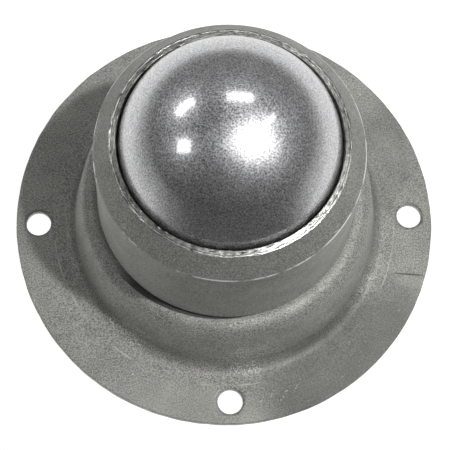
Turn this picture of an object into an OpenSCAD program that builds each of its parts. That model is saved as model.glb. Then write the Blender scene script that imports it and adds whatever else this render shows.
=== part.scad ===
// Ball transfer unit with a round four-hole flange.
// A steel ball rolls on a bed of small load balls in a hardened cup. The cup sits on the neck of
// a pressed flange, and a drawn cap is pressed over the neck and coned in above the ball's middle.
// Origin: centre of the flange's underside. +Z is the axis of the ball and the flange.

/* [Main ball] */
// Diameter of the main ball
ball_d = 38.1; // [36:0.1:41]
// Height of the main ball's centre above the flange's underside
ball_z = 38.4; // [37:0.1:44]

/* [Load bed] */
// Diameter of a load ball
load_ball_d = 3.175; // [2.8:0.025:4]
// Running gap between a load ball and the main ball, and between a load ball and the cup
run_gap = 0.12; // [0.08:0.01:0.2]
// Least gap between neighbouring load balls in a row
side_gap = 0.06; // [0.03:0.01:0.1]
// Most load balls in one arc of a row
arc_balls = 7; // [5:1:10]
// Wall of the hardened cup
cup_t = 1.2; // [1:0.1:1.6]

/* [Cap] */
// Thickness of the cap's sheet
cap_t = 1; // [0.8:0.05:1.2]
// Gap between the main ball's side and the cap's wall, too narrow for a load ball to pass
cap_side_gap = 3.05; // [2.7:0.05:3.1]
// Height of the cap's cut rim above the main ball's centre
rim_rise = 4; // [3:0.1:5]
// Gap between the main ball and the rim's inner edge
rim_gap = 0.38; // [0.3:0.01:0.5]
// Outside radius of the bend at the cap's shoulder
shoulder_bend_r = 1.6; // [1.3:0.1:2.2]
// Fit of the cap over the neck, on the radius
cap_fit = 0.1; // [0.05:0.01:0.15]

/* [Boss] */
// Height of the boss's flat shelf above the flange's underside
shelf_z = 16.1; // [13:0.1:18]
// Width of the shelf outside the cap, out to where the boss's wall would meet it
shelf_w = 3.1; // [2.9:0.1:5]
// How far the boss's wall leans out from the shelf down to the flange
wall_lean = 2.2; // [1:0.1:4]
// Outside radius of the bend between the shelf and the wall
shelf_bend_r = 3; // [1.8:0.1:3.2]
// Outside radius of the bend between the wall and the flange
foot_bend_r = 2.5; // [1:0.1:3.5]
// Radius in the corner between the shelf and the neck
neck_bend_r = 0.6; // [0.4:0.05:0.7]

/* [Flange] */
// Thickness of the pressed sheet of the flange, the boss and the neck
sheet_t = 1.2; // [0.8:0.1:1.5]
// Width of the flange, from the foot of the boss's wall to the outer edge
flange_w = 10.8; // [10:0.1:16]
// Distance from a bolt hole's centre to the flange's outer edge
hole_inset = 4.2; // [3.6:0.1:5]
// Diameter of a bolt hole
hole_d = 4.6; // [4:0.1:5]
// Number of bolt holes
hole_count = 4; // [3:1:8]

/* [Hidden] */
// Radii of the bed, from the main ball outwards
ball_r = ball_d / 2;
pitch_r = ball_r + run_gap + load_ball_d / 2;
cup_ir = pitch_r + load_ball_d / 2 + run_gap;
cup_or = cup_ir + cup_t;

// Cap: the wall is upright up to the ball's centre, then leans in to the rim
cap_ir = ball_r + cap_side_gap;
cap_r = cap_ir + cap_t;
rim_z = ball_z + rim_rise;
rim_ir = sqrt(ball_r * ball_r - rim_rise * rim_rise) + rim_gap;
rim_reach = norm([cap_r - rim_ir, rim_rise]);
cone_lean = acos(cap_t / rim_reach) - atan2(rim_rise, cap_r - rim_ir);
// The cap's foot is chamfered inside, to clear the bend between the shelf and the neck
foot_chamfer = neck_bend_r + cap_fit / 2;

// Neck: inside the cap, with its mouth cut to the cup's round underside
neck_r = cap_ir - cap_fit;
lip_z = ball_z - sqrt(cup_or * cup_or - neck_r * neck_r);
neck_in_r = neck_r - sheet_t;
seat_z = ball_z - sqrt(cup_or * cup_or - neck_in_r * neck_in_r);
neck_z = (seat_z + lip_z) / 2;

// Boss and flange radii, on the upper surface
shelf_r = cap_r + shelf_w;
foot_r = shelf_r + wall_lean;
flange_r = foot_r + flange_w;
hole_circle_r = flange_r - hole_inset;

// Rows of load balls: row 0 is the single ball at the bottom of the cup
row_step = 2 * asin((load_ball_d / 2 + side_gap) / pitch_r);
lip_angle = acos((ball_z - lip_z) / cup_or);
row_count = floor(lip_angle / row_step) + 1;
function row_r(row) = pitch_r * sin(row * row_step);
function row_z(row) = ball_z - pitch_r * cos(row * row_step);
function row_balls(row) = row == 0 ? 1 : floor(180 / asin((load_ball_d + side_gap) / 2 / row_r(row)));
function row_arcs(row) = ceil(row_balls(row) / arc_balls);
function first_ball(row, arc) = floor(row_balls(row) * arc / row_arcs(row));
function arc_node(row, arc) = str("load_balls_", row, "_", arc);
arc_nodes = [for (row = [0:row_count - 1]) for (arc = [0:row_arcs(row) - 1]) arc_node(row, arc)];

$fn = 96;
// How far a cutting shape runs past what it cuts
past = 1;
// Straight steps round each bend of a sheet
bend_steps = 10;

function left_of(v) = [-v[1], v[0]];
function turned(v, angle) = [v[0] * cos(angle) - v[1] * sin(angle), v[0] * sin(angle) + v[1] * cos(angle)];
function along(path, i) = (path[i + 1] - path[i]) / norm(path[i + 1] - path[i]);
function turn(path, i) = asin(cross(along(path, i - 1), along(path, i)));

// Points round the bend at a corner, on the show surface or, with inset set to the sheet's
// thickness, on the back. side is +1 where the show surface is outside the bend, -1 inside.
function bend_points(path, i, r, inset) =
    let (
        way = along(path, i - 1),
        side = sign(turn(path, i)),
        spoke = -side * left_of(way),
        centre = path[i] - way * r * tan(abs(turn(path, i)) / 2) - spoke * r
    )
    [for (k = [0:bend_steps]) centre + turned(spoke, turn(path, i) * k / bend_steps) * (r - side * inset)];

// One side of a bent sheet, from its first end to its last
function sheet_side(path, radii, inset) =
    let (last = len(path) - 1)
    concat(
        [path[0] + left_of(along(path, 0)) * inset],
        [for (i = [1:last - 1]) each bend_points(path, i, radii[i - 1], inset)],
        [path[last] + left_of(along(path, last - 1)) * inset]
    );
function backwards(points) = [for (i = [len(points) - 1:-1:0]) points[i]];

// Section of a bent sheet. The path is its show surface, the sheet lies on the path's left, and
// radii holds the show surface's bend radius at each corner. No bend turns more than 90 degrees.
module sheet_section(path, radii, t) {
    polygon(concat(sheet_side(path, radii, 0), backwards(sheet_side(path, radii, t))));
}

// One pressed sheet: the flange, the boss's wall, its shelf and the neck that carries the cup
module base_flange() {
    color([0.47, 0.47, 0.44]) difference() {
        rotate_extrude() sheet_section(
            [[flange_r, sheet_t], [foot_r, sheet_t], [shelf_r, shelf_z], [neck_r, shelf_z], [neck_r, neck_z]],
            [foot_bend_r, shelf_bend_r, neck_bend_r],
            sheet_t);
        translate([0, 0, ball_z]) sphere(r = cup_or);
        for (i = [0:hole_count - 1])
            rotate([0, 0, 360 * i / hole_count])
                translate([hole_circle_r, 0, -past])
                    cylinder(d = hole_d, h = sheet_t + 2 * past);
    }
}

// Drawn sleeve that stands on the shelf, coned in over the ball and cut off flat at the rim
module top_cap() {
    cone_way = [-sin(cone_lean), cos(cone_lean)];
    shoulder = [cap_r, ball_z];
    color([0.47, 0.47, 0.45]) rotate_extrude() difference() {
        sheet_section(
            [[cap_r, shelf_z], shoulder, shoulder + cone_way * (rim_reach + past)],
            [shoulder_bend_r],
            cap_t);
        translate([0, rim_z]) square([cap_r, rim_reach]);
        polygon([
            [cap_ir - past, shelf_z - past],
            [cap_ir + foot_chamfer + past, shelf_z - past],
            [cap_ir - past, shelf_z + foot_chamfer + past]
        ]);
    }
}

// Hardened race, a thin round cup with a flat lip inside the cap's wall
module ball_cup() {
    color([0.36, 0.36, 0.37]) difference() {
        translate([0, 0, ball_z]) sphere(r = cup_or);
        translate([0, 0, ball_z]) sphere(r = cup_ir);
        translate([0, 0, lip_z]) cylinder(r = cup_or + past, h = cup_or * 2);
    }
}

module main_ball() {
    color([0.72, 0.72, 0.73]) translate([0, 0, ball_z]) sphere(d = ball_d);
}

// One arc of a row of load balls, each a solid of its own
module load_ball_arc(row, arc) {
    step = 360 / row_balls(row);
    color([0.78, 0.78, 0.79])
        for (i = [first_ball(row, arc):first_ball(row, arc + 1) - 1])
            rotate([0, 0, i * step])
                translate([row_r(row), 0, row_z(row)])
                    sphere(d = load_ball_d);
}

base_flange();
top_cap();
ball_cup();
main_ball();
for (row = [0:row_count - 1])
    for (arc = [0:row_arcs(row) - 1])
        load_ball_arc(row, arc);
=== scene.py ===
import math

import bpy
from mathutils import Matrix, Vector


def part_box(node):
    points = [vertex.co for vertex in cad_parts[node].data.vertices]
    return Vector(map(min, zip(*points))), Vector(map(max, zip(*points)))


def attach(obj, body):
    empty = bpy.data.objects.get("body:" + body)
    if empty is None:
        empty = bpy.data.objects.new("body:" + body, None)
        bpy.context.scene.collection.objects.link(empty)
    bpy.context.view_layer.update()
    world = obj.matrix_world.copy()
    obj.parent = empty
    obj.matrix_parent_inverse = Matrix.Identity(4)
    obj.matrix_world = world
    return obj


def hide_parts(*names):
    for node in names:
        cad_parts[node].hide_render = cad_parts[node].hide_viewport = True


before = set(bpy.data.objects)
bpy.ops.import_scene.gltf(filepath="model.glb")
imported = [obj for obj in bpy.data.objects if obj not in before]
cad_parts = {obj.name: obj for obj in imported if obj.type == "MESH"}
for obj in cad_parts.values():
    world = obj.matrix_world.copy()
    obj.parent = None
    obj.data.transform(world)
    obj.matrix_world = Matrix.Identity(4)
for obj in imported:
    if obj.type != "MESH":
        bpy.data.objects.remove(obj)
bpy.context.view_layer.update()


# ---------------------------------------------------------------- base flange
# The foot of the unit: a round flange with a raised boss and a neck that carries the race.
# One blank of 1.2 mm low carbon steel, drawn up in a press, trimmed round and pierced with
# four bolt holes. It is left bare, with the matt grey face of tumbled steel.

FLANGE_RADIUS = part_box("base_flange")[1].x * 1000
NECK_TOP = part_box("base_flange")[1].z * 1000
BASE_SHEET = 1.2
FOOT_CORNER = (28.4, BASE_SHEET)
SHELF_CORNER = (26.2, 16.1)
NECK_RADIUS = 22.0
SEAT_EDGE = (21.447, NECK_TOP)
SEAT_FOOT = (20.8, 27.113)


def back_of(path, thickness):
    """The back of a bent sheet: its straights moved in by the thickness, its bends to suit."""
    lines = []
    for (r0, z0, _), (r1, z1, _) in zip(path, path[1:]):
        along = Vector((r1 - r0, z1 - z0)).normalized()
        inward = Vector((-along.y, along.x)) * thickness
        lines.append((Vector((r0, z0)) + inward, along))
    corners = [lines[0][0].to_tuple() + (0,)]
    for (point, along), (other, onward), (_, _, bend) in zip(lines, lines[1:], path[1:]):
        turn = along.cross(onward)
        meet = point + along * ((other - point).cross(onward) / turn)
        corners.append((meet.x, meet.y, bend - math.copysign(thickness, turn)))
    point, along = lines[-1]
    end = Vector(path[-1][:2]) + Vector((-along.y, along.x)) * thickness
    return corners + [(end.x, end.y, 0)]


def bent_path(corners, run=1.3):
    """Section corners (radius, height, bend radius, in mm) as a closed run of points: an arc at
    each bend, and no straight step longer than the run."""
    points = []
    for i, (r, z, bend) in enumerate(corners):
        here = Vector((r, z))
        if not bend:
            points.append(here)
            continue
        back = (Vector(corners[i - 1][:2]) - here).normalized()
        on = (Vector(corners[(i + 1) % len(corners)][:2]) - here).normalized()
        half = back.angle(on) / 2
        centre = here + (back + on).normalized() * (bend / math.sin(half))
        start = here + back * (bend / math.tan(half)) - centre
        finish = here + on * (bend / math.tan(half)) - centre
        sweep = math.atan2(start.cross(finish), start.dot(finish))
        steps = 4 if bend < 0.5 else 12
        for k in range(steps + 1):
            points.append(centre + Matrix.Rotation(sweep * k / steps, 2) @ start)
    path = []
    for a, b in zip(points, points[1:] + points[:1]):
        parts = max(1, math.ceil((b - a).length / run))
        path += [a.lerp(b, k / parts) for k in range(parts)]
    return path


def spun_piece(name, path, closed=True, turns=288):
    """One point drawn out along a section and spun about the upright axis into a closed skin."""
    bpy.ops.object.select_all(action="DESELECT")
    place = (path[0].x / 1000, 0, path[0].y / 1000)
    bpy.ops.mesh.primitive_plane_add(size=0.001, location=place)
    bpy.ops.object.transform_apply()
    piece = bpy.context.object
    piece.name = piece.data.name = name
    bpy.ops.object.mode_set(mode="EDIT")
    bpy.ops.mesh.merge(type="CENTER")
    for a, b in zip(path, path[1:] + path[:1] if closed else path[1:]):
        step = ((b.x - a.x) / 1000, 0, (b.y - a.y) / 1000)
        bpy.ops.mesh.extrude_region_move(TRANSFORM_OT_translate={"value": step})
    bpy.ops.mesh.select_all(action="SELECT")
    bpy.ops.mesh.spin(steps=turns, angle=math.tau, center=(0, 0, 0), axis=(0, 0, 1))
    bpy.ops.mesh.select_all(action="SELECT")
    bpy.ops.mesh.remove_doubles(threshold=2e-6)
    bpy.ops.mesh.normals_make_consistent(inside=False)
    bpy.ops.object.mode_set(mode="OBJECT")
    bpy.ops.object.shade_smooth()
    return piece


def apply_modifier(piece, kind, **settings):
    """Adds one modifier to a piece with its settings and applies it."""
    bpy.ops.object.select_all(action="DESELECT")
    bpy.context.view_layer.objects.active = piece
    piece.select_set(True)
    modifier = piece.modifiers.new(kind.lower(), kind)
    for setting, value in settings.items():
        setattr(modifier, setting, value)
    bpy.ops.object.modifier_apply(modifier=modifier.name)


def weigh_points(piece, name, weight_of):
    """A vertex group whose weight at each point comes from its radius and height in mm."""
    group = piece.vertex_groups.new(name=name)
    for point in piece.data.vertices:
        weight = weight_of(math.hypot(point.co.x, point.co.y) * 1000, point.co.z * 1000)
        if weight > 0:
            group.add([point.index], min(weight, 1), "REPLACE")
    return name


def cloud_texture(name, size_mm):
    """A cloud pattern whose lumps are about that many millimetres across."""
    texture = bpy.data.textures.new(name, "CLOUDS")
    texture.noise_scale = size_mm / 1000
    texture.noise_depth = 2
    return texture


show_side = [
    (FLANGE_RADIUS, BASE_SHEET, 0.3),
    (*FOOT_CORNER, 2.5),
    (*SHELF_CORNER, 3.0),
    (NECK_RADIUS, SHELF_CORNER[1], 0.6),
    (NECK_RADIUS, NECK_TOP, 0.12),
]
hidden_side = back_of(show_side, BASE_SHEET)
base_section = show_side + [(*SEAT_EDGE, 0), (*SEAT_FOOT, 0)]
base_section += hidden_side[-2:0:-1] + [(FLANGE_RADIUS, 0, 0.1)]
base = spun_piece("pressed_base", bent_path(base_section))

# The flat of the flange isn't quite flat, and the trimming die leaves its edge a little uneven.
WAVE_FROM, WAVE_FULL = 30, 36
wavy = weigh_points(
    base, "wavy",
    lambda r, z: (r - WAVE_FROM) / (WAVE_FULL - WAVE_FROM) if z < BASE_SHEET * 2.5 else 0,
)
apply_modifier(
    base, "DISPLACE", texture=cloud_texture("flange_wave", 16), texture_coords="LOCAL",
    direction="Z", strength=0.0003, mid_level=0.2, vertex_group=wavy,
)
TRIMMED_EDGE = 0.9
trimmed = weigh_points(
    base, "trimmed", lambda r, z: (r - (FLANGE_RADIUS - 0.1 - TRIMMED_EDGE)) / TRIMMED_EDGE
)
apply_modifier(
    base, "DISPLACE", texture=cloud_texture("trim_nicks", 3.2), texture_coords="LOCAL",
    direction="NORMAL", strength=0.00022, mid_level=0.6, vertex_group=trimmed,
)

# The four holes are pierced from above, so each has a rolled-in upper edge and a sharp lower one.
HOLE_CIRCLE = 35.0
HOLE_RADIUS = 2.3
HOLE_ROLL = 0.22
HOLE_SIDES = 72
ROLL_STEPS = 4
BELOW, ABOVE = 1.0, 0.8
rises = [(BELOW + BASE_SHEET - HOLE_ROLL, HOLE_RADIUS)]
for k in range(1, ROLL_STEPS + 1):
    bend = k / ROLL_STEPS * math.pi / 2
    last_bend = (k - 1) / ROLL_STEPS * math.pi / 2
    rises.append((
        HOLE_ROLL * (math.sin(bend) - math.sin(last_bend)),
        HOLE_RADIUS + HOLE_ROLL * (1 - math.cos(bend)),
    ))
rises.append((ABOVE, HOLE_RADIUS + HOLE_ROLL * 1.02))
for quarter in range(4):
    bpy.ops.object.select_all(action="DESELECT")
    angle = quarter * math.tau / 4
    spot = (HOLE_CIRCLE * math.cos(angle) / 1000, HOLE_CIRCLE * math.sin(angle) / 1000)
    bpy.ops.mesh.primitive_circle_add(
        vertices=HOLE_SIDES, radius=HOLE_RADIUS / 1000, fill_type="NGON",
        location=(*spot, -BELOW / 1000), rotation=(0, 0, math.pi / HOLE_SIDES),
    )
    punch = bpy.context.object
    bpy.ops.object.mode_set(mode="EDIT")
    punch_radius = HOLE_RADIUS
    for rise, wide in rises:
        bpy.ops.mesh.extrude_region_move(TRANSFORM_OT_translate={"value": (0, 0, rise / 1000)})
        bpy.ops.transform.resize(value=(wide / punch_radius, wide / punch_radius, 1))
        punch_radius = wide
    bpy.ops.mesh.select_all(action="SELECT")
    bpy.ops.mesh.normals_make_consistent(inside=False)
    bpy.ops.object.mode_set(mode="OBJECT")
    bpy.ops.object.transform_apply()
    apply_modifier(base, "BOOLEAN", object=punch, operation="DIFFERENCE", solver="EXACT")
    bpy.data.objects.remove(punch)
base.vertex_groups.clear()
bpy.context.view_layer.objects.active = base
base.select_set(True)
bpy.ops.object.shade_smooth()
apply_modifier(base, "WEIGHTED_NORMAL", weight=80, keep_sharp=True)


def linear(hex_colour):
    """An sRGB hex colour as the linear values that a shader reads."""
    parts = [int(hex_colour[i : i + 2], 16) / 255 for i in (1, 3, 5)]
    return (*[p / 12.92 if p <= 0.04045 else ((p + 0.055) / 1.055) ** 2.4 for p in parts], 1)


def add_node(tree, kind, inputs=None, **settings):
    """One node with its settings; each input is a value or the output that feeds it."""
    node = tree.nodes.new(kind)
    for setting, value in settings.items():
        setattr(node, setting, value)
    for name, value in (inputs or {}).items():
        if isinstance(value, bpy.types.NodeSocket):
            tree.links.new(value, node.inputs[name])
        else:
            node.inputs[name].default_value = value
    return node


def band(tree, value, middle, half_width, soft):
    """A mask, in metres, that is 1 within half_width of the middle and fades to 0 over soft."""
    off = add_node(tree, "ShaderNodeMath", {0: value, 1: middle}, operation="SUBTRACT")
    off = add_node(tree, "ShaderNodeMath", {0: off.outputs["Value"]}, operation="ABSOLUTE")
    return add_node(
        tree, "ShaderNodeMapRange",
        {"Value": off.outputs["Value"], "From Min": half_width, "From Max": half_width + soft,
         "To Min": 1.0, "To Max": 0.0},
    ).outputs["Result"]


def scratch(tree, place, spot, turn, length, width):
    """A mask for one scratch or rub: an oval at a spot, turned about the upright axis, in mm."""
    moved = add_node(
        tree, "ShaderNodeMapping",
        {"Vector": place, "Location": [v / 1000 for v in spot],
         "Rotation": (0, 0, math.radians(turn)),
         "Scale": (length / 2000, width / 2000, length / 2000)},
        vector_type="TEXTURE",
    ).outputs["Vector"]
    far = add_node(tree, "ShaderNodeVectorMath", {0: moved}, operation="LENGTH").outputs["Value"]
    return add_node(
        tree, "ShaderNodeMapRange",
        {"Value": far, "From Min": 0.6, "From Max": 1.0, "To Min": 1.0, "To Max": 0.0},
    ).outputs["Result"]


def from_axis(tree, place, axis=(0, 0, 0)):
    """How far each point is from an upright axis."""
    flat = add_node(tree, "ShaderNodeVectorMath", {0: place, 1: (1, 1, 0)}, operation="MULTIPLY")
    return add_node(
        tree, "ShaderNodeVectorMath", {0: flat.outputs["Vector"], 1: axis}, operation="DISTANCE"
    ).outputs["Value"]


def paint(tree, colour, hex_colour, strength, *masks):
    """Mixes a colour over the surface where all the masks are set."""
    amount = strength
    for mask in masks:
        amount = add_node(
            tree, "ShaderNodeMath", {0: mask, 1: amount}, operation="MULTIPLY"
        ).outputs["Value"]
    return add_node(
        tree, "ShaderNodeMix", {0: amount, 6: colour, 7: linear(hex_colour)}, data_type="RGBA"
    ).outputs[2]


def tumbled_steel(name, light_hex, dark_hex, rough):
    """Bare low carbon steel, tumbled after pressing: its peened, thinly oxidised skin scatters
    most of the light, so it is part metal and part matt. Fine grain of about 0.3 mm, cloudy
    patches of 5 mm, and sparse bright specks where the skin is dented down to clean metal.
    Gives the material, its place and grain outputs, and its colour for marks to go on."""
    material = bpy.data.materials.new(name)
    material.use_nodes = True
    tree = material.node_tree
    shader = tree.nodes["Principled BSDF"]
    shader.inputs["Metallic"].default_value = 0.35
    place = add_node(tree, "ShaderNodeTexCoord").outputs["Object"]
    grain_mm, cloud_mm, speck_gap_mm = 0.26, 5, 1.6
    grain = add_node(
        tree, "ShaderNodeTexNoise",
        {"Vector": place, "Scale": 1000 / grain_mm, "Detail": 1.0, "Roughness": 0.6},
    ).outputs["Fac"]
    cloud = add_node(
        tree, "ShaderNodeTexNoise",
        {"Vector": place, "Scale": 1000 / cloud_mm, "Detail": 4.0, "Roughness": 0.6},
    ).outputs["Fac"]
    cell = add_node(
        tree, "ShaderNodeTexVoronoi", {"Vector": place, "Scale": 1000 / speck_gap_mm}
    )
    chance = add_node(
        tree, "ShaderNodeSeparateColor", {"Color": cell.outputs["Color"]}
    ).outputs["Red"]
    reach = add_node(
        tree, "ShaderNodeMapRange",
        {"Value": chance, "From Min": 0.72, "From Max": 1.0, "To Min": 0.0, "To Max": 0.13},
    ).outputs["Result"]
    speck = add_node(
        tree, "ShaderNodeMath", {0: cell.outputs["Distance"], 1: reach}, operation="LESS_THAN"
    ).outputs["Value"]
    tone = add_node(
        tree, "ShaderNodeMath", {0: cloud, 1: 0.25, 2: -0.125}, operation="MULTIPLY_ADD"
    ).outputs["Value"]
    tone = add_node(tree, "ShaderNodeMath", {0: grain, 1: tone}, operation="ADD").outputs["Value"]
    tone = add_node(
        tree, "ShaderNodeMapRange", {"Value": tone, "From Min": 0.25, "From Max": 0.75}
    ).outputs["Result"]
    colour = add_node(
        tree, "ShaderNodeMix", {0: tone, 6: linear(dark_hex), 7: linear(light_hex)},
        data_type="RGBA",
    ).outputs[2]
    colour = paint(tree, colour, "#cfcfc9", 1.0, speck)
    tree.links.new(colour, shader.inputs["Base Color"])
    gloss = add_node(
        tree, "ShaderNodeMapRange",
        {"Value": cloud, "From Min": 0.3, "From Max": 0.7, "To Min": rough + 0.05,
         "To Max": rough - 0.05},
    ).outputs["Result"]
    tree.links.new(gloss, shader.inputs["Roughness"])
    bump = add_node(
        tree, "ShaderNodeBump", {"Strength": 0.6, "Distance": 0.00006, "Height": grain}
    ).outputs["Normal"]
    tree.links.new(bump, shader.inputs["Normal"])
    return material, place, grain, colour


# The marks of the press and of use: a painted highlight in the foot bend, broken into patches,
# a fine ring where the blank holder stopped, a crease painted dark as its shade with a pulled
# patch beside it, painted shade on the flange's right and a painted lighter patch at its front,
# scratches rubbed by a hole, and a painted shadow on the shelf under the cap at the front left.
base_finish, place, grain, colour = tumbled_steel(
    "tumbled_steel_base", "#c0c0ba", "#656561", rough=0.58
)
tree = base_finish.node_tree
distance = from_axis(tree, place)
coarse = add_node(
    tree, "ShaderNodeTexNoise",
    {"Vector": place, "Scale": 1000 / 7.5, "Detail": 2.0, "Roughness": 0.5},
).outputs["Fac"]
broken = add_node(
    tree, "ShaderNodeMapRange", {"Value": coarse, "From Min": 0.5, "From Max": 0.62}
).outputs["Result"]
rough_spots = add_node(
    tree, "ShaderNodeMapRange", {"Value": grain, "From Min": 0.5, "From Max": 0.66}
).outputs["Result"]
FOOT_BEND = 0.0285
# Painted highlight: the foot bend is painted light in broken patches, where light catches the
# bend.
foot_bend_highlight = band(tree, distance, FOOT_BEND, 0.0009, 0.0012)
colour = paint(tree, colour, "#deded8", 0.85, foot_bend_highlight, broken, rough_spots)
HOLDER_RING = 0.0321
witness = band(tree, distance, HOLDER_RING, 0.00005, 0.00012)
colour = paint(tree, colour, "#d0d0ca", 0.8, witness, broken)
height = add_node(tree, "ShaderNodeSeparateXYZ", {"Vector": place}).outputs["Z"]
level = band(tree, height, BASE_SHEET / 1000, 0.0008, 0.002)
# Painted shade and light: two dark patches darken the flange on its right, and one light patch
# brightens its front.
for spot, turn, length, width, hex_colour, strength in (
    ((22, -28, 1.2), 36, 46, 24, "#565652", 0.6),
    ((31, 12, 1.2), 70, 32, 15, "#5c5c58", 0.3),
    ((-7, -37, 1.2), -12, 34, 13, "#b4b4ae", 0.28),
):
    shade_and_light_patch = scratch(tree, place, spot, turn, length, width)
    colour = paint(tree, colour, hex_colour, strength, shade_and_light_patch, level)
for spot, turn, length, width in (
    ((6.0, -34.5, 1.2), 62, 5.0, 0.35), ((7.6, -34.0, 1.2), 66, 4.2, 0.3),
    ((10.2, -33.6, 1.2), 58, 5.4, 0.4), ((12.4, -32.2, 1.2), 64, 3.6, 0.3),
    ((4.2, -33.4, 1.2), 5, 2.6, 0.3),
):
    rubbed = scratch(tree, place, spot, turn, length, width)
    colour = paint(tree, colour, "#d4d4ce", 0.7, rubbed, rough_spots)
# Painted shade: the crease is a dark line painted on the flat, standing in for the shade in its
# fold.
crease_shade = scratch(tree, place, (34.4, -11.6, 1.2), -6, 7.0, 0.42)
colour = paint(tree, colour, "#3f3f3b", 0.7, crease_shade)
pulled = scratch(tree, place, (34.2, -13.0, 1.2), -8, 7.5, 2.6)
colour = paint(tree, colour, "#b4b4ae", 0.3, pulled, level)
# Painted shadow: a dark ring on the shelf round the foot of the cap, strongest at the front left,
# where the cap's shadow falls.
foot_shadow_ring = band(tree, from_axis(tree, place, (-0.0013, 0, 0)), 0.0225, 0.0009, 0.0001)
foot_shadow_front_left = scratch(tree, place, (-8.8, -21.8, 16.1), -22, 34, 14)
colour = paint(tree, colour, "#30302d", 0.88, foot_shadow_ring, foot_shadow_front_left)
tree.links.new(colour, tree.nodes["Principled BSDF"].inputs["Base Color"])
base.data.materials.append(base_finish)
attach(base, "housing")
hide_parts("base_flange")


# ------------------------------------------------------------------- ball cup
# The race under the load balls: a deep cup of 1.2 mm bearing steel that sits on the neck.
# It is drawn, hardened and its inside is polished by the balls that run in it.

BALL_CENTRE = (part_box("main_ball")[0].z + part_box("main_ball")[1].z) * 500
CUP_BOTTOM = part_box("ball_cup")[0].z * 1000
CUP_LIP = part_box("ball_cup")[1].z * 1000
CUP_OUTSIDE = BALL_CENTRE - CUP_BOTTOM
CUP_SHEET = 1.2
CUP_INSIDE = CUP_OUTSIDE - CUP_SHEET


def sphere_arc(radius, low, high, steps):
    """Points on a sphere about the ball's centre between two angles up from its lowest point."""
    angles = [low + (high - low) * k / steps for k in range(steps + 1)]
    return [Vector((radius * math.sin(a), BALL_CENTRE - radius * math.cos(a))) for a in angles]


# Both skins stop a hair short of the lip's height, so that it isn't a knife edge.
LIP_EASE = 0.004
drop = BALL_CENTRE - CUP_LIP
outside = sphere_arc(CUP_OUTSIDE, 0, math.acos(drop / CUP_OUTSIDE) - LIP_EASE, 40)
inside = sphere_arc(CUP_INSIDE, math.acos(drop / CUP_INSIDE) - LIP_EASE, 0, 40)
cup = spun_piece("drawn_cup", outside + inside, closed=False, turns=192)
# Quenched, tempered and cleaned, its face is smoother than the base's: a dull grey sheen.
cup.data.materials.append(
    tumbled_steel("hardened_cup_steel", "#a4a3a0", "#6c6b68", rough=0.42)[0]
)
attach(cup, "housing")
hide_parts("ball_cup")


# ----------------------------------------------------------------- load balls
# About 156 small bearing balls under the main ball, 3.175 mm across, of through-hardened
# chrome steel, ground and polished, so each is a small bright mirror.


def polished_chrome_steel(name, light_hex, dark_hex, rough, haze, wear_mm):
    """Ground and lapped bearing steel: a grey mirror. Its wear is a haze of fine pits and
    dull spots that blurs the edge of every reflection and gives it a light speckle."""
    material = bpy.data.materials.new(name)
    material.use_nodes = True
    tree = material.node_tree
    shader = tree.nodes["Principled BSDF"]
    shader.inputs["Metallic"].default_value = 1.0
    place = add_node(tree, "ShaderNodeTexCoord").outputs["Object"]
    fine = add_node(
        tree, "ShaderNodeTexNoise",
        {"Vector": place, "Scale": 1000 / wear_mm, "Detail": 2.0, "Roughness": 0.7},
    ).outputs["Fac"]
    tone = add_node(
        tree, "ShaderNodeMapRange", {"Value": fine, "From Min": 0.3, "From Max": 0.7}
    ).outputs["Result"]
    colour = add_node(
        tree, "ShaderNodeMix", {0: tone, 6: linear(dark_hex), 7: linear(light_hex)},
        data_type="RGBA",
    ).outputs[2]
    tree.links.new(colour, shader.inputs["Base Color"])
    pits = add_node(
        tree, "ShaderNodeTexNoise",
        {"Vector": place, "Scale": 8000 / wear_mm, "Detail": 0.0},
    ).outputs["Fac"]
    hazy = add_node(
        tree, "ShaderNodeMath", {0: fine, 1: 0.5, 2: pits}, operation="MULTIPLY_ADD"
    ).outputs["Value"]
    gloss = add_node(
        tree, "ShaderNodeMapRange",
        {"Value": hazy, "From Min": 0.64, "From Max": 0.8, "To Min": rough, "To Max": haze},
    ).outputs["Result"]
    tree.links.new(gloss, shader.inputs["Roughness"])
    bump = add_node(
        tree, "ShaderNodeBump", {"Strength": 0.25, "Distance": 0.00002, "Height": fine}
    ).outputs["Normal"]
    tree.links.new(bump, shader.inputs["Normal"])
    return material


load_ball_finish = polished_chrome_steel(
    "polished_load_ball_steel", "#cfcfd0", "#b4b4b6", rough=0.1, haze=0.2, wear_mm=0.2
)
for node_name, node_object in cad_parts.items():
    if node_name.startswith("load_balls"):
        node_object.data.materials.clear()
        node_object.data.materials.append(load_ball_finish)


# ------------------------------------------------------------------ main ball
# The ball that carries the goods: 38.1 mm of through-hardened chrome steel, ground and lapped.
# It rests on the load balls and is worn to a haze of fine pits and scratches by use.

BALL_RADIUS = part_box("main_ball")[1].x * 1000
BALL_CUTS = 63
# A finely cut cube is cast round and sized to the ball, so that the ball has no poles.
bpy.ops.object.select_all(action="DESELECT")
bpy.ops.mesh.primitive_cube_add(size=2 * BALL_RADIUS / 1000)
ball = bpy.context.object
ball.name = ball.data.name = "worn_ball"
bpy.ops.object.mode_set(mode="EDIT")
bpy.ops.mesh.subdivide(number_cuts=BALL_CUTS)
bpy.ops.object.mode_set(mode="OBJECT")
apply_modifier(ball, "CAST", cast_type="SPHERE", factor=1.0)
bpy.ops.object.mode_set(mode="EDIT")
bpy.ops.mesh.select_all(action="SELECT")
ground_down = BALL_RADIUS / 1000 / ball.data.vertices[0].co.length
bpy.ops.transform.resize(value=(ground_down, ground_down, ground_down))
bpy.ops.transform.translate(value=(0, 0, BALL_CENTRE / 1000))
bpy.ops.object.mode_set(mode="OBJECT")
bpy.ops.object.shade_smooth()
ball.data.materials.append(polished_chrome_steel(
    "lapped_ball_steel", "#ebebed", "#868688", rough=0.1, haze=0.43, wear_mm=0.27
))
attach(ball, "rolling_ball")
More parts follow.
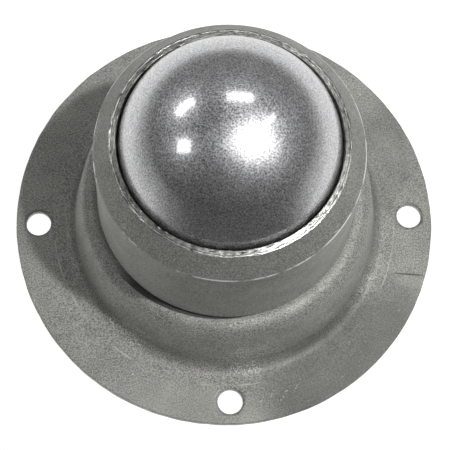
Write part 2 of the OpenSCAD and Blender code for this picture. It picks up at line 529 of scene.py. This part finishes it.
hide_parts("main_ball")


# -------------------------------------------------------------------- top cap
# The ring that holds the ball in: a straight skirt pressed over the neck, a rounded shoulder
# and a cone that stops just short of the ball. 1 mm steel, drawn and tumbled like the base.
# Its opening is pierced last, so the rim is bare sheared metal with a ragged burr.

CAP_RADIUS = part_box("top_cap")[1].x * 1000
CAP_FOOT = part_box("top_cap")[0].z * 1000
RIM_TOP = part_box("top_cap")[1].z * 1000
CAP_BORE = 22.1
FOOT_GAP = 0.9
FOOT_FLARE = 0.25
FLARE_RISE = 2.8
CONE_RISE = 4.0
RIM_OUTSIDE = 20.235
RIM_INSIDE = 19.005
cap_section = [
    (CAP_RADIUS + FOOT_FLARE, CAP_FOOT + FOOT_GAP, 0.12),
    (CAP_RADIUS, CAP_FOOT + FLARE_RISE, 4),
    (CAP_RADIUS, RIM_TOP - CONE_RISE, 1.6),
    # Across the sheared rim: its outer edge, a burr, a groove, the crest and the cut face.
    (RIM_OUTSIDE + 0.04, RIM_TOP - 0.07, 0.03),
    (RIM_OUTSIDE - 0.22, RIM_TOP + 0.02, 0.04),
    (RIM_OUTSIDE - 0.34, RIM_TOP - 0.12, 0.03),
    (RIM_INSIDE + 0.13, RIM_TOP + 0.08, 0.09),
    (RIM_INSIDE - 0.12, RIM_TOP - 0.62, 0.06),
    # Down the inside, back to the foot.
    (CAP_BORE, RIM_TOP - 4.32, 0.6),
    (CAP_BORE, CAP_FOOT + FLARE_RISE, 4),
    (CAP_BORE + FOOT_FLARE, CAP_FOOT + FOOT_GAP + 0.1, 0.1),
]
cap = spun_piece("drawn_cap", bent_path(cap_section, run=0.9), turns=432)

# The punch tears the top of the rim into fine lumps of about 0.1 mm.
TORN_DEPTH, TORN_FADE = 0.35, 0.25
ragged = weigh_points(cap, "ragged", lambda r, z: (z - RIM_TOP + TORN_DEPTH) / TORN_FADE)
apply_modifier(
    cap, "DISPLACE", texture=cloud_texture("rim_tears", 0.5), texture_coords="LOCAL",
    direction="Z", strength=0.00009, mid_level=0.55, vertex_group=ragged,
)
cap.vertex_groups.clear()

# A painted highlight runs in a broken line round the shoulder's rubbed crest, strongest on one
# side.
# The cone has a few short scratches below the rim, and one small round dent.
cap_finish, place, grain, colour = tumbled_steel(
    "tumbled_steel_cap", "#b2b2ac", "#6b6b66", rough=0.56
)
tree = cap_finish.node_tree
tilted_height = add_node(
    tree, "ShaderNodeVectorMath", {0: place, 1: (0, -0.008, 1)}, operation="DOT_PRODUCT"
).outputs["Value"]
coarse = add_node(
    tree, "ShaderNodeTexNoise",
    {"Vector": place, "Scale": 1000 / 4, "Detail": 3.0, "Roughness": 0.6},
).outputs["Fac"]
rubbed_and_lit_side = add_node(
    tree, "ShaderNodeVectorMath", {0: place, 1: (3.5, 4, 0)}, operation="DOT_PRODUCT"
).outputs["Value"]
wear = add_node(
    tree, "ShaderNodeMath", {0: coarse, 1: rubbed_and_lit_side}, operation="ADD"
).outputs["Value"]
worn_and_lit = add_node(
    tree, "ShaderNodeMapRange", {"Value": wear, "From Min": 0.4, "From Max": 0.53}
).outputs["Result"]
SHOULDER_HEIGHT = 0.03842
# Painted highlight: white paint along the shoulder's rubbed crest, broken by noise and strongest
# on one side.
shoulder_highlight = band(tree, tilted_height, SHOULDER_HEIGHT, 0.00012, 0.00018)
colour = paint(tree, colour, "#ffffff", 0.95, shoulder_highlight, worn_and_lit)
for spot, turn, length, width in (
    ((17.0, -15.1, 38.95), 33, 1.4, 0.15), ((17.9, -14.5, 38.5), 33, 2.0, 0.17),
    ((17.9, -15.0, 38.3), 33, 1.2, 0.13), ((13.0, -18.6, 39.2), 34, 1.4, 0.14),
):
    scuff = scratch(tree, place, spot, turn, length, width)
    colour = paint(tree, colour, "#dcdcd6", 0.7, scuff)
DENT_CENTRE = (-0.01792, -0.01348, 0.03935)
DENT_RADIUS = 0.00038
from_dent = add_node(
    tree, "ShaderNodeVectorMath", {0: place, 1: DENT_CENTRE}, operation="DISTANCE"
).outputs["Value"]
dent_edge = band(tree, from_dent, DENT_RADIUS, 0.00004, 0.0001)
colour = paint(tree, colour, "#c8c8c2", 0.5, dent_edge)
tree.links.new(colour, tree.nodes["Principled BSDF"].inputs["Base Color"])
cap.data.materials.append(cap_finish)

# The sheared rim: clean bright metal, smeared round by the punch and torn in fine ragged lines,
# with a painted highlight along its burr, painted shade in the groove inside it, and two nicks at
# the front left, each painted as a dark shaded side and a white highlight.
rim_finish = bpy.data.materials.new("sheared_steel_rim")
rim_finish.use_nodes = True
tree = rim_finish.node_tree
shader = tree.nodes["Principled BSDF"]
shader.inputs["Metallic"].default_value = 0.9
place = add_node(tree, "ShaderNodeTexCoord").outputs["Object"]
apart = add_node(tree, "ShaderNodeSeparateXYZ", {"Vector": place})
distance = from_axis(tree, place)
bearing = add_node(
    tree, "ShaderNodeMath", {0: apart.outputs["Y"], 1: apart.outputs["X"]}, operation="ARCTAN2"
).outputs["Value"]
STREAK_STRETCH = 6
along_rim = add_node(
    tree, "ShaderNodeMath", {0: bearing, 1: RIM_OUTSIDE / 1000 / STREAK_STRETCH},
    operation="MULTIPLY",
).outputs["Value"]
around = add_node(
    tree, "ShaderNodeCombineXYZ", {"X": distance, "Y": along_rim, "Z": apart.outputs["Z"]}
).outputs["Vector"]
torn = add_node(
    tree, "ShaderNodeTexNoise",
    {"Vector": around, "Scale": 1000 / 0.2, "Detail": 2.0, "Roughness": 0.6},
).outputs["Fac"]
stained = add_node(
    tree, "ShaderNodeTexNoise",
    {"Vector": place, "Scale": 1000 / 3, "Detail": 2.0, "Roughness": 0.6},
).outputs["Fac"]
tone = add_node(
    tree, "ShaderNodeMath", {0: stained, 1: 0.5, 2: torn}, operation="MULTIPLY_ADD"
).outputs["Value"]
tone = add_node(
    tree, "ShaderNodeMapRange", {"Value": tone, "From Min": 0.55, "From Max": 0.95}
).outputs["Result"]
colour = add_node(
    tree, "ShaderNodeMix", {0: tone, 6: linear("#3c3c39"), 7: linear("#c8c8c3")},
    data_type="RGBA",
).outputs[2]
ragged_line = add_node(
    tree, "ShaderNodeMapRange", {"Value": torn, "From Min": 0.4, "From Max": 0.5}
).outputs["Result"]
# Painted highlight: a broken white line along the burr.
burr_highlight = band(tree, distance, (RIM_OUTSIDE - 0.26) / 1000, 0.00006, 0.00008)
colour = paint(tree, colour, "#ffffff", 0.95, burr_highlight, ragged_line)
# Painted shade and highlight: each nick is a dark shaded spot beside a white lit one.
for spot, length, width, hex_colour in (
    ((-12.5, -14.4, 42.35), 0.9, 0.5, "#161614"), ((-11.45, -15.3, 42.35), 0.9, 0.5, "#161614"),
    ((-12.15, -14.9, 42.35), 0.7, 0.3, "#ffffff"), ((-10.9, -15.75, 42.35), 0.7, 0.3, "#ffffff"),
):
    nick_shade_and_glint = scratch(tree, place, spot, -41, length, width)
    colour = paint(tree, colour, hex_colour, 0.95, nick_shade_and_glint)
# Painted shade: a dark line in the groove.
groove_shade = band(tree, distance, (RIM_OUTSIDE - 0.37) / 1000, 0.00002, 0.00006)
colour = paint(tree, colour, "#2c2c2a", 0.7, groove_shade)
tree.links.new(colour, shader.inputs["Base Color"])
gloss = add_node(
    tree, "ShaderNodeMapRange",
    {"Value": torn, "From Min": 0.3, "From Max": 0.7, "To Min": 0.35, "To Max": 0.24},
).outputs["Result"]
tree.links.new(gloss, shader.inputs["Roughness"])
bump = add_node(
    tree, "ShaderNodeBump", {"Strength": 0.8, "Distance": 0.00009, "Height": torn}
).outputs["Normal"]
tree.links.new(bump, shader.inputs["Normal"])
cap.data.materials.append(rim_finish)
SHEARED_DEPTH = 0.7
SHEARED_FROM, SHEARED_TO = 19.0, RIM_OUTSIDE + 0.06
for face in cap.data.polygons:
    high = face.center.z * 1000 > RIM_TOP - SHEARED_DEPTH
    reach = face.center.xy.length * 1000
    face.material_index = int(high and SHEARED_FROM < reach < SHEARED_TO)
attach(cap, "housing")
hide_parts("top_cap")


# ---------------------------------------------------------------------- stage
# A plain white acrylic table, lit from below and brightest round the unit, in a grey studio.

bpy.ops.object.select_all(action="DESELECT")
bpy.ops.mesh.primitive_plane_add(size=8)
table = bpy.context.object
table.name = "white_table"
# Cast opal acrylic with a sanded face: white, with no grain and no clear reflection.
# Its glow is a painted pool of light, brightest round the unit and fading to grey further out.
table_finish = bpy.data.materials.new("lit_white_acrylic")
table_finish.use_nodes = True
sheet = table_finish.node_tree
acrylic = sheet.nodes["Principled BSDF"]
acrylic.inputs["Base Color"].default_value = linear("#8c8c8a")
acrylic.inputs["Roughness"].default_value = 0.8
acrylic.inputs["Emission Color"].default_value = (1, 1, 1, 1)
POOL_CENTRE = (0.02, 0.13, 0)
POOL_REACH = 0.6
from_pool = from_axis(
    sheet, add_node(sheet, "ShaderNodeTexCoord").outputs["Object"], POOL_CENTRE
)
away = add_node(
    sheet, "ShaderNodeMapRange", {"Value": from_pool, "From Min": 0.0, "From Max": POOL_REACH}
).outputs["Result"]
pool = add_node(sheet, "ShaderNodeValToRGB", {"Fac": away})
pool.color_ramp.interpolation = "EASE"
pool.color_ramp.elements[0].color = (1.05, 1.05, 1.05, 1)
pool.color_ramp.elements[1].color = (0.24, 0.24, 0.24, 1)
for far, grey in ((0.26, 0.97), (0.36, 0.6), (0.5, 0.36)):
    pool.color_ramp.elements.new(far).color = (grey, grey, grey, 1)
sheet.links.new(pool.outputs["Color"], acrylic.inputs["Emission Color"])
acrylic.inputs["Emission Strength"].default_value = 1.0
table.data.materials.append(table_finish)

# A dark card lies in front of the unit. The camera doesn't see it and it casts no shadow: it is
# there for the ball to mirror.
bpy.ops.mesh.primitive_plane_add(size=1)
card = bpy.context.object
card.name = "dark_card"
bpy.ops.object.mode_set(mode="EDIT")
CARD_WIDE, CARD_DEEP = 5.0, 2.4
CARD_EDGE = 0.04
bpy.ops.transform.resize(value=(CARD_WIDE, CARD_DEEP, 1))
bpy.ops.transform.translate(value=(0, -CARD_EDGE - CARD_DEEP / 2, 0.0005))
bpy.ops.object.mode_set(mode="OBJECT")
# Uncoated grey paper board: matt all over, and faded out at the sides so that no end is mirrored.
card_finish = bpy.data.materials.new("grey_card")
card_finish.use_nodes = True
weave = card_finish.node_tree
card_shader = weave.nodes["Principled BSDF"]
card_shader.inputs["Base Color"].default_value = linear("#6a6a6a")
card_shader.inputs["Roughness"].default_value = 0.9
card_place = add_node(
    weave, "ShaderNodeSeparateXYZ",
    {"Vector": add_node(weave, "ShaderNodeTexCoord").outputs["Object"]},
)
spread = add_node(
    weave, "ShaderNodeMath", {0: card_place.outputs["X"], 1: card_place.outputs["Y"]},
    operation="DIVIDE",
).outputs["Value"]
spread = add_node(weave, "ShaderNodeMath", {0: spread, 1: 0.1}, operation="ADD").outputs["Value"]
spread = add_node(weave, "ShaderNodeMath", {0: spread}, operation="ABSOLUTE").outputs["Value"]
solid = add_node(
    weave, "ShaderNodeMapRange",
    {"Value": spread, "From Min": 0.7, "From Max": 2.2, "To Min": 1.0, "To Max": 0.0},
).outputs["Result"]
weave.links.new(solid, card_shader.inputs["Alpha"])
card.data.materials.append(card_finish)
card.visible_camera = False
card.visible_diffuse = False
card.visible_shadow = False

# The studio's walls are mid grey, darker overhead and brighter behind the unit and on its right.
world = bpy.data.worlds.new("grey_studio")
bpy.context.scene.world = world
world.use_nodes = True
sky = world.node_tree
direction = add_node(sky, "ShaderNodeTexCoord").outputs["Generated"]
aim = add_node(sky, "ShaderNodeSeparateXYZ", {"Vector": direction})
walls = add_node(sky, "ShaderNodeValToRGB", {"Fac": aim.outputs["Z"]})
walls.color_ramp.elements[0].color = (0.22, 0.22, 0.22, 1)
walls.color_ramp.elements[1].color = (0.04, 0.04, 0.04, 1)
for rise, grey in ((0.1, 0.13), (0.2, 0.2), (0.35, 0.22), (0.6, 0.22)):
    walls.color_ramp.elements.new(rise).color = (grey, grey, grey, 1)
side = add_node(
    sky, "ShaderNodeMath", {0: aim.outputs["Y"], 1: 0.36, 2: 0.84}, operation="MULTIPLY_ADD"
).outputs["Value"]
side = add_node(
    sky, "ShaderNodeMath", {0: aim.outputs["X"], 1: 0.17, 2: side}, operation="MULTIPLY_ADD"
).outputs["Value"]
sky.links.new(walls.outputs["Color"], sky.nodes["Background"].inputs["Color"])
sky.links.new(side, sky.nodes["Background"].inputs["Strength"])


LIGHT_DISTANCE = 1.2


def studio_light(
    name, azimuth, elevation, wide, tall, turn, radiance, shape="RECTANGLE", mirrored_only=True
):
    """A soft light seen from the ball at that azimuth and elevation, that many degrees across.
    One that is mirrored only shows in shiny surfaces and lights nothing directly."""
    a, e = math.radians(azimuth), math.radians(elevation)
    toward = Vector((math.cos(e) * math.cos(a), math.cos(e) * math.sin(a), math.sin(e)))
    across = Vector((-math.sin(a), math.cos(a), 0))
    lamp = bpy.data.lights.new(name, "AREA")
    lamp.shape = shape
    lamp.size = 2 * LIGHT_DISTANCE * math.tan(math.radians(wide / 2))
    lamp.size_y = 2 * LIGHT_DISTANCE * math.tan(math.radians(tall / 2))
    lamp.energy = radiance * math.pi * lamp.size * lamp.size_y
    light = bpy.data.objects.new(name, lamp)
    bpy.context.collection.objects.link(light)
    light.location = Vector((0, 0, BALL_CENTRE / 1000)) + toward * LIGHT_DISTANCE
    facing = Matrix((across, toward.cross(across), toward)).transposed()
    light.rotation_euler = (facing @ Matrix.Rotation(math.radians(turn), 3, "Z")).to_euler()
    light.visible_camera = False
    light.visible_diffuse = not mirrored_only


# One hard lamp casts the shadow, inside a soft glow. The rest are dim beside it: windows, lamps
# and the lit shade round the key, which give the ball its bright reflections.
# Each has its azimuth, elevation, width, height and turn in degrees, and its radiance.
studio_light("key_lamp", -20.5, 66.8, 2.5, 2.5, 0, 880.0, mirrored_only=False)
studio_light("key_glow", -28, 66, 32, 24, -59, 1.1, "ELLIPSE", mirrored_only=False)
studio_light("back_window", 74.7, 56.5, 24, 10, 13.4, 4.6)
studio_light("side_lamp", -167.1, 40, 14, 12, 65.7, 5.4)
studio_light("far_lamp", 146.2, 37.7, 18, 8, 151.2, 8.5)
studio_light("window_edge", 13, 54, 22, 5, -54, 4.6)
studio_light("lamp_shade", -38, 63, 58, 36, -57, 0.85, "ELLIPSE")
studio_light("soft_box", -45, 66, 84, 62, -57, 0.1, "ELLIPSE")


# --------------------------------------------------------------------- camera
# It looks down on the unit from in front, a little to the left, as over a bench.

camera = bpy.data.objects.new("camera", bpy.data.cameras.new("camera"))
bpy.context.collection.objects.link(camera)
camera.data.lens = 135.7
camera.data.sensor_width = 36
camera.location = (-0.010651, -0.101350, 0.305066)
right = Vector((0.999224, -0.030197, 0.025295))
upward = Vector((0.020738, 0.949212, 0.313953))
camera.rotation_euler = Matrix((right, upward, right.cross(upward))).transposed().to_euler()
camera.data.clip_start = 0.01
bpy.context.scene.camera = camera
bpy.context.scene.view_settings.view_transform = "Standard"
